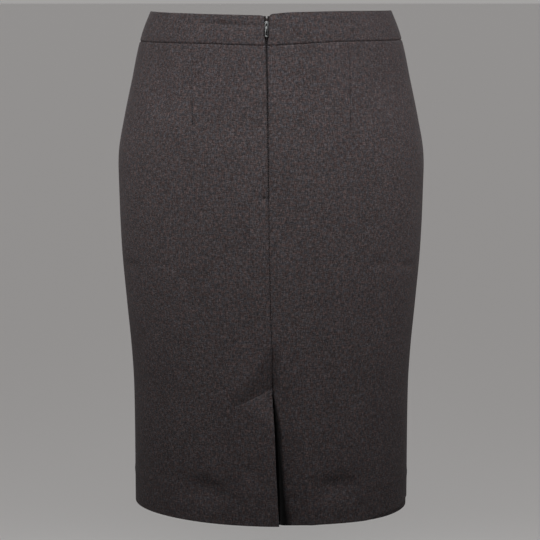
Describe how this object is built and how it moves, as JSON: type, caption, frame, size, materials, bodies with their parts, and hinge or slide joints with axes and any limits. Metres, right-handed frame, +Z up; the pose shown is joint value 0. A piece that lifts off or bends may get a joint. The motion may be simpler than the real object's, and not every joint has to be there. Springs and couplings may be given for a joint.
{
  "type": "pencil skirt",
  "caption": "Knee-length pencil skirt in plain charcoal suiting, filled out hollow, with a waistband, a concealed centre back zip, waist darts and a lapped back vent.",
  "frame": {"origin": "centre of the waist, halfway up the waistband, where the wearer holds the skirt up", "axes": "+Z up, out of the waist; -Y towards the back, where the zip and the vent are; -X towards the wearer's left side seam"},
  "size_m": [0.3626, 0.2421, 0.5978],
  "materials": {
    "skirt_cloth": "fine plain-woven charcoal suiting, matt",
    "band_cloth": "the same suiting, interfaced and made double",
    "zip_tape": "woven polyester tape, matt",
    "zip_coil": "nylon coil, satin",
    "zip_metal": "nickel-plated zinc, polished"
  },
  "bodies": {
    "skirt": {"front_panel": "skirt_cloth", "back_left_panel": "skirt_cloth", "back_right_panel": "skirt_cloth", "waistband_front": "band_cloth", "waistband_back_left": "band_cloth", "waistband_back_right": "band_cloth", "zip_tape_left": "zip_tape", "zip_tape_right": "zip_tape", "zip_coil": "zip_coil", "zip_slider": "zip_metal", "zip_bottom_stop": "zip_metal"},
    "pull_tab": {"zip_pull": "zip_metal"}
  },
  "joints": [
    {"name": "pull_tab_hinge", "type": "hinge", "parent": "skirt", "child": "pull_tab", "pos_m": [-0.00515, -0.1093, 0.00397], "axis": [-1, 0, 0], "range_deg": [0, 165]}
  ]
}
